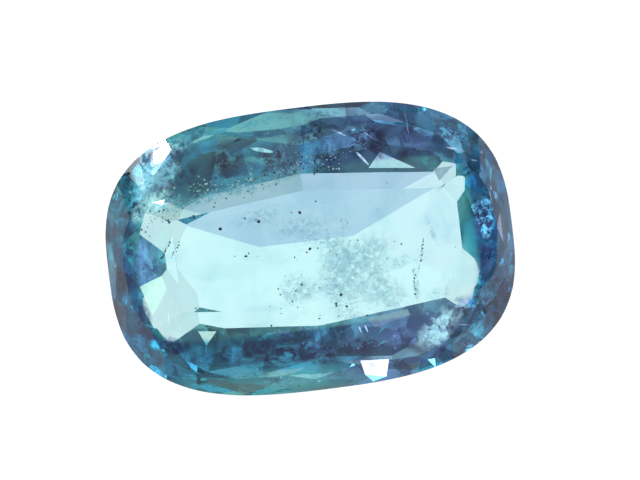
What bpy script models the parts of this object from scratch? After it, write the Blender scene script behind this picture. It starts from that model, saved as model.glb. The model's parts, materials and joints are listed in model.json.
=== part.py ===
"""
A faceted emerald: one solid, cut as a long cushion, lying on a broad facet under its table.

The stone is cut the way a gem cutter works. A preform with the outline of the girdle is made
first. Then one flat facet after another is sliced off it: the crown in rings from the girdle up
to the table, and the pavilion in rings from the girdle down to a shallow roof with a short keel.
The bottom is too shallow to stand level on, so the finished stone leans over on to the front
slope of that roof.

Lengths are in metres, +Z is up, and the long axis runs along X. While it is cut, the stone has
its girdle plane at Z = 0 and its table facing straight up.
"""

import math
import random
from collections import namedtuple

import bmesh
import bpy
from mathutils import Matrix, Vector

MM = 0.001

# An outline is a superellipse: a squareness of 2 is an ellipse, and larger is more rectangular.
Outline = namedtuple("Outline", "half_length half_width squareness")

# The girdle, the stone's widest line
GIRDLE = Outline(6.75 * MM, 4.70 * MM, 2.9)
HALF_GIRDLE = 0.15 * MM
GIRDLE_SEGMENTS = 144

# The crown: the height of each ring's upper edge, and its outline there
CROWN_BREAK = Outline(6.45 * MM, 4.00 * MM, 2.9)
CROWN_BREAK_HEIGHT = 0.62 * MM
CROWN_SHOULDER = Outline(6.00 * MM, 2.85 * MM, 3.6)
CROWN_SHOULDER_HEIGHT = 1.12 * MM
TABLE_HEIGHT = 1.38 * MM

# The table's edges: how far each lies from the middle, and how steep the facet outside it is
TABLE_BACK_REACH = 1.90 * MM
TABLE_FRONT_REACH = 2.00 * MM
TABLE_END_REACH = 4.40 * MM
TABLE_CORNER_REACH = 4.40 * MM
TABLE_SIDE_SLOPE = 20
TABLE_END_SLOPE = 12
TABLE_CORNER_SLOPE = 10
TABLE_SIDE_TURN = 6
TABLE_CORNER_AZIMUTH = 42

# The pavilion: the depth of each ring's lower edge, and its outline there
PAVILION_BREAK = Outline(6.45 * MM, 4.25 * MM, 3.1)
PAVILION_BREAK_DEPTH = 0.75 * MM
PAVILION_WAIST = Outline(5.85 * MM, 3.35 * MM, 3.5)
PAVILION_WAIST_DEPTH = 1.75 * MM

# The roof that closes the pavilion: a keel a little behind the middle, and four shallow slopes
KEEL_DEPTH = 3.45 * MM
KEEL_Y = 0.25 * MM
KEEL_LEFT_X = -1.70 * MM
KEEL_RIGHT_X = 1.50 * MM
ROOF_BACK_SLOPE = 18
ROOF_FRONT_SLOPE = 14
ROOF_END_SLOPE = 8

# The steep facets that bound the roof on its long sides
HULL_BACK_REACH = 2.02 * MM
HULL_FRONT_REACH = 2.10 * MM
HULL_SIDE_SLOPE = 40
HULL_SIDE_TURN = 4

# Two more hull facets narrow the roof towards its left end, behind and in front
SHOULDER_TURN = 13
SHOULDER_SLOPE = 42
SHOULDER_X = 3.2 * MM

# At each end a steep middle facet bounds the roof, between back_y and front_y on its edge, and
# from there a lower corner facet turns away on each side. A side of 1 is the right end.
End = namedtuple(
    "End", "side keel_x reach back_y front_y middle_slope corner_slope corner_turn")
LEFT_END = End(-1, KEEL_LEFT_X, 4.60 * MM, 0.45 * MM, -0.10 * MM, 40, 33, 25)
RIGHT_END = End(1, KEEL_RIGHT_X, 4.80 * MM, 0.95 * MM, -0.63 * MM, 42, 33, 28)

# The facets of a ring in one quarter of the stone, by the way they face, in degrees from +X.
# They crowd towards 90 because the long sides are nearly straight.
GIRDLE_RING = (0, 12, 30, 48, 64, 76, 86)
INNER_RING = (6, 22, 40, 57, 71, 82, 90)

# A stone that is cut by hand has no two facets quite alike.
WOBBLE_SEED = 7
AZIMUTH_WOBBLE = 2.0
SLOPE_WOBBLE = 2.0

MERGE_DISTANCE = 0.002 * MM
CLEAR_BLUE_GREEN = (0.30, 0.72, 0.76, 1.0)
BERYL_IOR = 1.577


def clear_scene():
    """Remove what the scene holds."""
    for thing in list(bpy.data.objects):
        bpy.data.objects.remove(thing, do_unlink=True)


def outline_point(outline, turn):
    """The point of a superellipse at a turn in radians."""
    power = 2 / outline.squareness
    x = outline.half_length * math.copysign(abs(math.cos(turn)) ** power, math.cos(turn))
    y = outline.half_width * math.copysign(abs(math.sin(turn)) ** power, math.sin(turn))
    return x, y


def outline_reach(outline, azimuth):
    """How far the outline reaches along an azimuth in degrees."""
    power = outline.squareness / (outline.squareness - 1)
    along_x = outline.half_length * abs(math.cos(math.radians(azimuth)))
    along_y = outline.half_width * abs(math.sin(math.radians(azimuth)))
    return (along_x ** power + along_y ** power) ** (1 / power)


def all_round(quarter):
    """The azimuths of a ring, mirrored from one quarter to all four."""
    azimuths = set()
    for azimuth in quarter:
        for mirrored in (azimuth, 180 - azimuth, 180 + azimuth, -azimuth):
            azimuths.add(mirrored % 360)
    return sorted(azimuths)


def make_preform():
    """A straight-sided blank with the girdle's outline, deeper than the finished stone."""
    stone = bmesh.new()
    turns = [2 * math.pi * step / GIRDLE_SEGMENTS for step in range(GIRDLE_SEGMENTS)]
    rim = []
    for turn in turns:
        x, y = outline_point(GIRDLE, turn)
        rim.append(stone.verts.new((x, y, -KEEL_DEPTH)))
    bottom = stone.faces.new(rim)
    raised = bmesh.ops.extrude_face_region(stone, geom=[bottom])
    top_corners = [item for item in raised["geom"] if isinstance(item, bmesh.types.BMVert)]
    bmesh.ops.translate(stone, verts=top_corners, vec=(0, 0, KEEL_DEPTH + TABLE_HEIGHT))
    bmesh.ops.recalc_face_normals(stone, faces=stone.faces)
    return stone


def slice_off(stone, point, normal):
    """Cut one flat facet: all that lies beyond the plane goes, and the cut is closed."""
    everything = list(stone.verts) + list(stone.edges) + list(stone.faces)
    cut = bmesh.ops.bisect_plane(
        stone, geom=everything, plane_co=point, plane_no=normal, clear_outer=True)
    rim = [item for item in cut["geom_cut"] if isinstance(item, bmesh.types.BMEdge)]
    open_rim = [edge for edge in rim if edge.is_boundary]
    if open_rim:
        bmesh.ops.contextual_create(stone, geom=open_rim)


def facing(azimuth, slope, side):
    """The normal of a facet: side is 1 on the crown and -1 on the pavilion."""
    turn = math.radians(azimuth)
    lean = math.radians(slope)
    flat = math.sin(lean)
    return Vector((flat * math.cos(turn), flat * math.sin(turn), side * math.cos(lean)))


def cut_facet(stone, azimuth, slope, reach, height, side):
    """Cut a facet that faces an azimuth and passes at reach from the axis at a height."""
    turn = math.radians(azimuth)
    point = Vector((reach * math.cos(turn), reach * math.sin(turn), height))
    slice_off(stone, point, facing(azimuth, slope, side))


def cut_ring(stone, hand, quarter, outer, outer_height, inner, inner_height):
    """Cut a ring of facets that lean from one outline to the next, each a little off true."""
    side = math.copysign(1, inner_height - outer_height)
    rise = abs(inner_height - outer_height)
    for true_azimuth in all_round(quarter):
        run = outline_reach(outer, true_azimuth) - outline_reach(inner, true_azimuth)
        true_slope = math.degrees(math.atan2(rise, run))
        azimuth = true_azimuth + hand.uniform(-AZIMUTH_WOBBLE, AZIMUTH_WOBBLE)
        slope = true_slope + hand.uniform(-SLOPE_WOBBLE, SLOPE_WOBBLE)
        reach = outline_reach(outer, azimuth)
        cut_facet(stone, azimuth, slope, reach, outer_height, side)


def cut_crown(stone, hand):
    """The rings above the girdle, and the facets round the table."""
    cut_ring(stone, hand, GIRDLE_RING, GIRDLE, HALF_GIRDLE, CROWN_BREAK, CROWN_BREAK_HEIGHT)
    cut_ring(stone, hand, INNER_RING, CROWN_BREAK, CROWN_BREAK_HEIGHT,
             CROWN_SHOULDER, CROWN_SHOULDER_HEIGHT)
    for turn in (-TABLE_SIDE_TURN, TABLE_SIDE_TURN):
        cut_facet(stone, 90 + turn, TABLE_SIDE_SLOPE, TABLE_BACK_REACH, TABLE_HEIGHT, 1)
        cut_facet(stone, 270 + turn, TABLE_SIDE_SLOPE, TABLE_FRONT_REACH, TABLE_HEIGHT, 1)
    for azimuth in (0, 180):
        cut_facet(stone, azimuth, TABLE_END_SLOPE, TABLE_END_REACH, TABLE_HEIGHT, 1)
    for azimuth in all_round([TABLE_CORNER_AZIMUTH]):
        cut_facet(stone, azimuth, TABLE_CORNER_SLOPE, TABLE_CORNER_REACH, TABLE_HEIGHT, 1)


def roof_height(run, slope):
    """The height of a roof slope, at a level distance from the keel."""
    return run * math.tan(math.radians(slope)) - KEEL_DEPTH


def cut_shoulder(stone, azimuth, side_reach, roof_slope, keel_offset):
    """Cut a hull facet at the left end, from where the roof's long edge passes SHOULDER_X."""
    flare = math.tan(math.radians(roof_slope)) / math.tan(math.radians(HULL_SIDE_SLOPE))
    edge_y = side_reach - SHOULDER_X * math.tan(math.radians(HULL_SIDE_TURN)) / (1 - flare)
    turn = math.radians(SHOULDER_TURN)
    reach = SHOULDER_X * math.sin(turn) + edge_y * math.cos(turn)
    height = roof_height(edge_y + keel_offset, roof_slope)
    cut_facet(stone, azimuth, SHOULDER_SLOPE, reach, height, -1)


def cut_end(stone, end):
    """Cut one end of the hull: its middle facet, and the corner facets on both sides of it."""
    x = end.side * end.reach
    height = roof_height(abs(x - end.keel_x), ROOF_END_SLOPE)
    outward = 0 if end.side == 1 else 180
    slice_off(stone, Vector((x, 0, height)), facing(outward, end.middle_slope, -1))
    for edge_y, turn in ((end.back_y, end.corner_turn), (end.front_y, -end.corner_turn)):
        azimuth = outward + end.side * turn
        slice_off(stone, Vector((x, edge_y, height)), facing(azimuth, end.corner_slope, -1))


def cut_pavilion(stone, hand):
    """The rings below the girdle, the steep hull facets and the shallow roof with its keel."""
    cut_ring(stone, hand, GIRDLE_RING, GIRDLE, -HALF_GIRDLE, PAVILION_BREAK, -PAVILION_BREAK_DEPTH)
    cut_ring(stone, hand, INNER_RING, PAVILION_BREAK, -PAVILION_BREAK_DEPTH,
             PAVILION_WAIST, -PAVILION_WAIST_DEPTH)
    back_height = roof_height(HULL_BACK_REACH - KEEL_Y, ROOF_BACK_SLOPE)
    front_height = roof_height(HULL_FRONT_REACH + KEEL_Y, ROOF_FRONT_SLOPE)
    for turn in (-HULL_SIDE_TURN, HULL_SIDE_TURN):
        cut_facet(stone, 90 + turn, HULL_SIDE_SLOPE, HULL_BACK_REACH, back_height, -1)
        cut_facet(stone, 270 + turn, HULL_SIDE_SLOPE, HULL_FRONT_REACH, front_height, -1)
    cut_shoulder(stone, 90 + SHOULDER_TURN, HULL_BACK_REACH, ROOF_BACK_SLOPE, -KEEL_Y)
    cut_shoulder(stone, 270 - SHOULDER_TURN, HULL_FRONT_REACH, ROOF_FRONT_SLOPE, KEEL_Y)
    cut_end(stone, LEFT_END)
    cut_end(stone, RIGHT_END)
    keel_right = Vector((KEEL_RIGHT_X, KEEL_Y, -KEEL_DEPTH))
    keel_left = Vector((KEEL_LEFT_X, KEEL_Y, -KEEL_DEPTH))
    slice_off(stone, keel_right, facing(90, ROOF_BACK_SLOPE, -1))
    slice_off(stone, keel_right, facing(270, ROOF_FRONT_SLOPE, -1))
    slice_off(stone, keel_right, facing(0, ROOF_END_SLOPE, -1))
    slice_off(stone, keel_left, facing(180, ROOF_END_SLOPE, -1))


def lay_down(stone):
    """Lean the stone on to the front slope of its roof, and centre its foot on the origin."""
    lean = Matrix.Rotation(math.radians(ROOF_FRONT_SLOPE), 4, "X")
    bmesh.ops.transform(stone, matrix=lean, verts=stone.verts)
    xs = [vert.co.x for vert in stone.verts]
    ys = [vert.co.y for vert in stone.verts]
    zs = [vert.co.z for vert in stone.verts]
    centre = Vector(((min(xs) + max(xs)) / 2, (min(ys) + max(ys)) / 2, min(zs)))
    bmesh.ops.translate(stone, verts=stone.verts, vec=-centre)


def emerald_material():
    """Clear blue-green beryl."""
    material = bpy.data.materials.new("emerald_beryl")
    material.use_nodes = True
    shader = material.node_tree.nodes["Principled BSDF"]
    shader.inputs["Base Color"].default_value = CLEAR_BLUE_GREEN
    shader.inputs["Roughness"].default_value = 0.03
    shader.inputs["Metallic"].default_value = 0.0
    shader.inputs["IOR"].default_value = BERYL_IOR
    shader.inputs["Transmission Weight"].default_value = 1.0
    return material


def make_emerald():
    """Cut the stone and put it in the scene as one object."""
    hand = random.Random(WOBBLE_SEED)
    stone = make_preform()
    cut_crown(stone, hand)
    cut_pavilion(stone, hand)
    bmesh.ops.remove_doubles(stone, verts=stone.verts, dist=MERGE_DISTANCE)
    lay_down(stone)
    mesh = bpy.data.meshes.new("emerald")
    stone.to_mesh(mesh)
    stone.free()
    mesh.materials.append(emerald_material())
    emerald = bpy.data.objects.new("emerald", mesh)
    bpy.context.scene.collection.objects.link(emerald)
    return emerald


clear_scene()
make_emerald()
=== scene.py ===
# %% [markdown]
# # A faceted emerald, finished for its picture
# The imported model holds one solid: the cut stone, lying on a broad facet of its underside. This
# script gives it the looks of the real thing, in the order in which a jeweller would describe
# it: the polish and its fine edges, the colour, and then the natural flaws inside.

# %% Load the frame and keep its box
import json
import math
import random

import bpy
import numpy as np
from mathutils import Euler, Matrix, Vector
from mathutils.bvhtree import BVHTree

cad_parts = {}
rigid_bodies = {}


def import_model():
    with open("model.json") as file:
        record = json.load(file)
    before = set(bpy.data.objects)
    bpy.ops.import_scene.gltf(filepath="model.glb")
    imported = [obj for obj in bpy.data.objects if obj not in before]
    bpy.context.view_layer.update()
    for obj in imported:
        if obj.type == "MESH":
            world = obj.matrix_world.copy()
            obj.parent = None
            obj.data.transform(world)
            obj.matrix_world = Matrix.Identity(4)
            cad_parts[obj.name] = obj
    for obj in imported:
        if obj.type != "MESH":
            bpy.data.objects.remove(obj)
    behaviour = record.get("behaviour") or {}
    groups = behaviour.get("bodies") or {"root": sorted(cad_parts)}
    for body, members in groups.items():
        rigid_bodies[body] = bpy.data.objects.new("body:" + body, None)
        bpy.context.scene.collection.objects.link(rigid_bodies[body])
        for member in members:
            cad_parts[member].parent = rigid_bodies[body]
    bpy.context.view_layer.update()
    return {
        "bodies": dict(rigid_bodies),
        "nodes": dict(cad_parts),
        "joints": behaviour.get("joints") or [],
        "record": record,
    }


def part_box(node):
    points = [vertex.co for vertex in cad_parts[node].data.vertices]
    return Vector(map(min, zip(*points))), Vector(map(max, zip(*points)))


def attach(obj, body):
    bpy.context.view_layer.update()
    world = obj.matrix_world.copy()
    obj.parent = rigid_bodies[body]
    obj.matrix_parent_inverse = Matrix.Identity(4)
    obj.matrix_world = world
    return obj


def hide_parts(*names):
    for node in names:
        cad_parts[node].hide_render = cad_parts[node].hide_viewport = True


MM = 0.001

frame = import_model()

# %% [markdown]
# ## The stone's own directions
# The stone leans 14 degrees towards the front, so its table, the big flat facet on top, doesn't
# face straight up. Everything about the stone is easier to say in its own directions: along it,
# across it, and up through the table, counted from the middle of its girdle. One matrix turns
# such a place into the frame's directions.

# %% Turn places on the stone into places in the frame
LEAN = math.radians(14)
KEEL_DEPTH = 3.45
KEEL_ACROSS = 0.25

lean_matrix = Matrix.Rotation(LEAN, 4, "X")


def find_girdle_centre():
    """The girdle's middle: its height follows from the roof slope that the stone lies on."""
    height = math.cos(LEAN) * KEEL_DEPTH - math.sin(LEAN) * KEEL_ACROSS
    node_low, node_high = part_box("emerald")
    return Vector(((node_low.x + node_high.x) / 2, 0, height * MM))


GIRDLE_CENTRE = find_girdle_centre()


def stone_point(along, across, up):
    """A place given in millimetres in the stone's own directions, in the frame's metres."""
    return GIRDLE_CENTRE + lean_matrix @ (Vector((along, across, up)) * MM)


print("Girdle centre in mm:", GIRDLE_CENTRE / MM)

# %% [markdown]
# ## Camera
# The photograph looks straight down on the table with a long lens, and the stone's long axis
# rises 7.1 degrees to the right. The camera sits on the table's normal and is rolled by that
# much. Its scale, in pixels per millimetre, is also what places a flaw that was found in the
# photograph.

# %% Place the camera
IMAGE_WIDTH, IMAGE_HEIGHT = 640, 480
GIRDLE_PIXEL = (310.3, 248.4)
PIXELS_PER_MM = 30.03
ROLL = math.radians(7.1)
LENS = 110
SENSOR = 36


def add_camera():
    """A camera that looks along the table's normal, with the girdle at its pixel."""
    data = bpy.data.cameras.new("camera")
    data.lens = LENS
    data.sensor_width = SENSOR
    data.clip_start = 0.001
    camera = bpy.data.objects.new("camera", data)
    bpy.context.scene.collection.objects.link(camera)
    distance = LENS / SENSOR * IMAGE_WIDTH / PIXELS_PER_MM * MM
    turn = lean_matrix @ Matrix.Rotation(-ROLL, 4, "Z")
    shift_x = (IMAGE_WIDTH / 2 - GIRDLE_PIXEL[0]) / PIXELS_PER_MM * MM
    shift_y = (GIRDLE_PIXEL[1] - IMAGE_HEIGHT / 2) / PIXELS_PER_MM * MM
    offset = turn @ Vector((shift_x, shift_y, distance))
    camera.matrix_world = Matrix.Translation(GIRDLE_CENTRE + offset) @ turn
    bpy.context.scene.camera = camera
    return camera


def photo_spot(x, y):
    """Where a pixel of the photograph lies on the stone: millimetres along it and across it."""
    right = (x - GIRDLE_PIXEL[0]) / PIXELS_PER_MM
    back = (GIRDLE_PIXEL[1] - y) / PIXELS_PER_MM
    along = right * math.cos(ROLL) + back * math.sin(ROLL)
    across = back * math.cos(ROLL) - right * math.sin(ROLL)
    return along, across


camera = add_camera()
print("Camera height in mm:", round(camera.location.z / MM, 1))

# %% [markdown]
# ## Floor and light
# A clear stone shows what is around it. The pale floor shines through its shallow middle, which
# cutters call a window, and the steep facets round that window mirror the sky above the stone.
# So the floor is a light table that glows, and the sky is a grey that is darkest overhead, with
# soft patches that the facets pick up. Five lamps are small and bright, for the glints, and two
# wide ones are dimmer.

# %% Floor
FLOOR_SIZE = 1.0
FLOOR_GAP = 0.02 * MM
FLOOR_GREY = 0.35
FLOOR_ROUGHNESS = 0.7
FLOOR_GLOW = 0.92


def floor_material():
    """A matt light table that glows white."""
    material = bpy.data.materials.new("pale_floor")
    material.use_nodes = True
    shader = material.node_tree.nodes["Principled BSDF"]
    shader.inputs["Base Color"].default_value = (FLOOR_GREY, FLOOR_GREY, FLOOR_GREY, 1)
    shader.inputs["Roughness"].default_value = FLOOR_ROUGHNESS
    shader.inputs["Emission Color"].default_value = (1, 1, 1, 1)
    shader.inputs["Emission Strength"].default_value = FLOOR_GLOW
    return material


bpy.ops.object.select_all(action="DESELECT")
bpy.ops.mesh.primitive_plane_add(size=FLOOR_SIZE, location=(0, 0, -FLOOR_GAP))
floor = bpy.context.object
floor.name = "floor"
floor.data.materials.append(floor_material())

# %% Sky
# Each stop is the sine of the height above the horizon, and how bright the sky is there.
SKY_STOPS = ((0.0, 0.52), (0.15, 0.46), (0.40, 0.60), (0.72, 0.50), (1.0, 0.40))
SKY_PATCH_SCALE = 3.4
SKY_PATCH_DETAIL = 2
SKY_NOISE_LOW = 0.35
SKY_NOISE_HIGH = 0.65
SKY_PATCH_LOW = 0.35
SKY_PATCH_HIGH = 1.65


def add_sky():
    """A grey sky that is darkest overhead, broken into soft patches."""
    world = bpy.data.worlds.new("studio")
    bpy.context.scene.world = world
    world.use_nodes = True
    tree = world.node_tree
    nodes, links = tree.nodes, tree.links
    direction = nodes.new("ShaderNodeTexCoord")
    split = nodes.new("ShaderNodeSeparateXYZ")
    height_ramp = nodes.new("ShaderNodeValToRGB")
    links.new(direction.outputs["Generated"], split.inputs[0])
    links.new(split.outputs["Z"], height_ramp.inputs[0])
    stops = height_ramp.color_ramp.elements
    while len(stops) < len(SKY_STOPS):
        stops.new(0.5)
    for stop, (place, grey) in zip(stops, SKY_STOPS):
        stop.position = place
        stop.color = (grey, grey, grey, 1)
    patches = nodes.new("ShaderNodeTexNoise")
    patches.inputs["Scale"].default_value = SKY_PATCH_SCALE
    patches.inputs["Detail"].default_value = SKY_PATCH_DETAIL
    links.new(direction.outputs["Generated"], patches.inputs["Vector"])
    spread = nodes.new("ShaderNodeMapRange")
    spread.inputs["From Min"].default_value = SKY_NOISE_LOW
    spread.inputs["From Max"].default_value = SKY_NOISE_HIGH
    spread.inputs["To Min"].default_value = SKY_PATCH_LOW
    spread.inputs["To Max"].default_value = SKY_PATCH_HIGH
    links.new(patches.outputs[0], spread.inputs["Value"])
    background = nodes["Background"]
    links.new(height_ramp.outputs[0], background.inputs["Color"])
    links.new(spread.outputs["Result"], background.inputs["Strength"])


add_sky()

# %% Lamps
LAMP_DISTANCE = 0.35
HALO_DISTANCE = 0.36


def add_lamp(name, direction, width, brightness, distance):
    """A round soft light that faces the stone; a brightness of 1 is as bright as white paper."""
    data = bpy.data.lights.new(name, "AREA")
    data.shape = "DISK"
    data.size = width
    data.energy = brightness * math.pi * math.pi * (width / 2) ** 2
    lamp = bpy.data.objects.new(name, data)
    bpy.context.scene.collection.objects.link(lamp)
    lamp.location = GIRDLE_CENTRE + Vector(direction).normalized() * distance
    lamp.rotation_euler = (GIRDLE_CENTRE - lamp.location).to_track_quat("-Z", "Y").to_euler()
    return lamp


# Each glint's direction is the view, mirrored in the facet that shows it. The halo is a wider
# and dimmer disc just behind the rim's lamp.
RIM_GLINT = (-0.473, 0.779, 0.412)

# Each lamp: its name, direction, width in metres, brightness and distance from the stone.
LAMPS = (
    ("rim_glint", RIM_GLINT, 0.007, 20, LAMP_DISTANCE),
    ("rim_halo", RIM_GLINT, 0.012, 6, HALO_DISTANCE),
    ("rim_neighbour", (-0.71, 0.65, 0.28), 0.010, 4, LAMP_DISTANCE),
    ("front_glint", (-0.05, 0.42, 0.90), 0.014, 6, LAMP_DISTANCE),
    ("right_glint", (-0.33, 0.38, 0.85), 0.010, 5, LAMP_DISTANCE),
    ("left_glow", (0.70, -0.15, 0.70), 0.07, 2.5, LAMP_DISTANCE),
    ("side_window", (-0.85, 0.10, 0.30), 0.18, 1.2, LAMP_DISTANCE))

for lamp in LAMPS:
    add_lamp(*lamp)
print("Lamps:", len(LAMPS))

# %% [markdown]
# ## The polished stone
# On a real stone the facets meet in edges that are fine but never perfectly sharp, because
# polishing rounds them, and those edges catch the light. The solid is copied, its loose
# triangles are merged into whole facets again, and a very fine bevel is put on the edges
# between them.

# %% Copy the cut stone and round its edges
MERGE_DISTANCE = 0.002 * MM
FLAT_ANGLE = math.radians(0.3)
EDGE_ANGLE = math.radians(2.5)
EDGE_WIDTH = 0.012 * MM


def select_only(piece):
    """Make a piece the only selected and active object."""
    bpy.ops.object.select_all(action="DESELECT")
    piece.select_set(True)
    bpy.context.view_layer.objects.active = piece


def make_polished_stone():
    """A copy of the cut stone, with whole facets and finely rounded edges."""
    cut_stone = frame["nodes"]["emerald"]
    mesh = cut_stone.data.copy()
    stone = bpy.data.objects.new("polished_emerald", mesh)
    bpy.context.scene.collection.objects.link(stone)
    select_only(stone)
    bpy.ops.object.mode_set(mode="EDIT")
    bpy.ops.mesh.select_all(action="SELECT")
    bpy.ops.mesh.remove_doubles(threshold=MERGE_DISTANCE)
    bpy.ops.mesh.dissolve_limited(angle_limit=FLAT_ANGLE)
    bpy.ops.object.mode_set(mode="OBJECT")
    print("Facets:", len(stone.data.polygons))
    bevel = stone.modifiers.new("fine_edges", "BEVEL")
    bevel.width = EDGE_WIDTH
    bevel.segments = 1
    bevel.limit_method = "ANGLE"
    bevel.angle_limit = EDGE_ANGLE
    bpy.ops.object.modifier_apply(modifier=bevel.name)
    for polygon in stone.data.polygons:
        polygon.use_smooth = False
    return stone


stone = make_polished_stone()
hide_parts("emerald")
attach(stone, "root")
print("Faces with fine edges:", len(stone.data.polygons))

# %% [markdown]
# ## One tone for each facet, with painted shade
# No two facets of a hand-cut stone look alike, so each one here passes a little more or less
# light than its neighbour. A colour kept on the corners of the mesh holds that tone. It is a
# painter's means and not a property of beryl. The broad facets get a chosen tone that is painted
# shade, for the way each of them looks in the light: the back slope of the roof underneath is
# painted darker and bluer than the front slope, which splits the bright window in two along the
# keel, and the roof's right slope and the crown's broad facets that face the back are painted a
# little darker. The table and the girdle stay plain. Every other facet gets a random tone, from a
# fixed start, and those of the back rim are a darker teal as well, which is partly painted shade.

# %% Give every facet its own tone
TONE_AND_SHADE_NAME = "facet_tone_and_shade"
PLAIN_TONE = (1.0, 1.0, 1.0)
# Painted shade: each chosen tone below stands for how its facets look in the light.
ROOF_BACK_PAINTED_SHADE = (0.46, 0.50, 0.70)
ROOF_RIGHT_PAINTED_SHADE = (0.96, 0.88, 0.96)
CROWN_LEFT_PAINTED_SHADE = (0.54, 0.60, 0.56)
CROWN_RIGHT_PAINTED_SHADE = (0.90, 0.86, 0.92)
CROWN_RIM_TEAL_SHADE = (0.50, 0.75, 0.78)
DULLEST_FACET = 0.50

# How far up or down a facet faces tells what it is: the z of its direction.
GIRDLE_FACES = 0.10
TABLE_FACES = 0.97
BROAD_CROWN_FACES = 0.90
RIM_FACES = 0.70
ROOF_FACES = -0.94

# How far it faces to the back or to the right tells which slope it is on.
ROOF_BACK_FACES = 0.15
ROOF_RIGHT_FACES = 0.10
CROWN_BACK_FACES = 0.10

# The back rim's facets are the ones past these places, in millimetres.
BACK_RIM_ACROSS = 3.2
BACK_RIM_ALONG = -1.5

random_facets = random.Random(5)
lean_back = lean_matrix.to_3x3().inverted()


def facet_tone_and_shade(normal, centre):
    """A facet's tone and painted shade, from its direction and middle, in the stone's directions.
    """
    if abs(normal.z) < GIRDLE_FACES or normal.z > TABLE_FACES:
        return PLAIN_TONE
    if normal.z < ROOF_FACES:
        if normal.y > ROOF_BACK_FACES:
            return ROOF_BACK_PAINTED_SHADE
        return ROOF_RIGHT_PAINTED_SHADE if normal.x > ROOF_RIGHT_FACES else PLAIN_TONE
    if normal.z > BROAD_CROWN_FACES:
        if normal.y < CROWN_BACK_FACES:
            return PLAIN_TONE
        return CROWN_LEFT_PAINTED_SHADE if centre.x < 0 else CROWN_RIGHT_PAINTED_SHADE
    shade = random_facets.uniform(DULLEST_FACET, 1)
    at_back = centre.y > BACK_RIM_ACROSS and centre.x > BACK_RIM_ALONG
    # The back rim's facets are a darker teal: partly colour and partly painted shade.
    tone = CROWN_RIM_TEAL_SHADE if normal.z > RIM_FACES and at_back else PLAIN_TONE
    return tuple(shade * value for value in tone)


def paint_facets(mesh):
    """Keep each facet's tone and painted shade on its corners, for the material to read."""
    layer = mesh.color_attributes.new(TONE_AND_SHADE_NAME, "FLOAT_COLOR", "CORNER")
    for polygon in mesh.polygons:
        centre = lean_back @ (polygon.center - GIRDLE_CENTRE) / MM
        tone = (*facet_tone_and_shade(lean_back @ polygon.normal, centre), 1)
        for corner in polygon.loop_indices:
            layer.data[corner].color = tone


paint_facets(stone.data)
print("Corners with a tone:", len(stone.data.color_attributes[TONE_AND_SHADE_NAME].data))

# %% [markdown]
# ## Colour
# Beryl takes its colour from traces of metals, and they are seldom spread evenly. This stone is
# teal at its left end, bluer at its lower left and slate blue at its right, with darker plum
# patches in between, which are partly its colour and partly painted shade. The outer rim at the
# left is painted a lighter teal, which is painted light, and both ends are painted darker, which
# is painted shade. The body colour is an absorption inside the stone: the longer the light's way
# through it, the stronger the colour. The zones are a tint on the light that passes its surface,
# worked out from the place on the stone, and most of the dark ring's colour is such a tint, so
# the ring's darkness is partly painted shade, for the dark that its facets mirror. In a real
# stone the window and the ring shift as the stone is turned. Here the facets do part of that,
# and the tint stays.

# %% A group that says where on the stone a point lies
def new_group(name, inputs, outputs):
    """An empty shader node group with named sockets; each input has its kind and first value."""
    group = bpy.data.node_groups.new(name, "ShaderNodeTree")
    for label, kind, value in inputs:
        socket = group.interface.new_socket(label, in_out="INPUT", socket_type=kind)
        if value is not None:
            socket.default_value = value
    for label, kind in outputs:
        group.interface.new_socket(label, in_out="OUTPUT", socket_type=kind)
    return group


def math_node(tree, operation, first, second=None):
    """A Math node fed with sockets or plain numbers; gives its output socket."""
    node = tree.nodes.new("ShaderNodeMath")
    node.operation = operation
    for socket, source in zip(node.inputs, (first, second)):
        if source is None:
            continue
        if isinstance(source, bpy.types.NodeSocket):
            tree.links.new(source, socket)
        else:
            socket.default_value = source
    return node.outputs[0]


def ramp_between(tree, value, low, high):
    """A smooth step from 0 at low to 1 at high."""
    node = tree.nodes.new("ShaderNodeMapRange")
    node.interpolation_type = "SMOOTHSTEP"
    tree.links.new(value, node.inputs["Value"])
    node.inputs["From Min"].default_value = low
    node.inputs["From Max"].default_value = high
    return node.outputs["Result"]


def mix_colour(tree, factor, first, second, blend="MIX"):
    """A colour mix; the factor and colours are sockets or plain values."""
    node = tree.nodes.new("ShaderNodeMix")
    node.data_type = "RGBA"
    node.blend_type = blend
    for socket, source in zip((node.inputs[0], node.inputs[6], node.inputs[7]),
                              (factor, first, second)):
        if isinstance(source, bpy.types.NodeSocket):
            tree.links.new(source, socket)
        else:
            socket.default_value = source
    return node.outputs[2]


def noise(tree, vector, scale, detail=2.0, distortion=0.0):
    """A Noise Texture's value at a place."""
    node = tree.nodes.new("ShaderNodeTexNoise")
    node.inputs["Scale"].default_value = scale
    node.inputs["Detail"].default_value = detail
    node.inputs["Distortion"].default_value = distortion
    tree.links.new(vector, node.inputs["Vector"])
    return node.outputs[0]


def place_on_stone(tree):
    """The place in the stone's own directions, in millimetres, from Object coordinates."""
    coordinates = tree.nodes.new("ShaderNodeTexCoord")
    mapping = tree.nodes.new("ShaderNodeMapping")
    upright = lean_matrix.inverted() @ GIRDLE_CENTRE
    mapping.inputs["Scale"].default_value = (1 / MM, 1 / MM, 1 / MM)
    mapping.inputs["Rotation"].default_value = (-LEAN, 0, 0)
    mapping.inputs["Location"].default_value = -upright / MM
    tree.links.new(coordinates.outputs["Object"], mapping.inputs["Vector"])
    return mapping.outputs["Vector"]


def cells(tree, vector, scale):
    """A random value for each cell of a Voronoi Texture, for patches with crisp borders."""
    node = tree.nodes.new("ShaderNodeTexVoronoi")
    node.inputs["Scale"].default_value = scale
    tree.links.new(vector, node.inputs["Vector"])
    split = tree.nodes.new("ShaderNodeSeparateColor")
    tree.links.new(node.outputs["Color"], split.inputs[0])
    return split.outputs[0]


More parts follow.
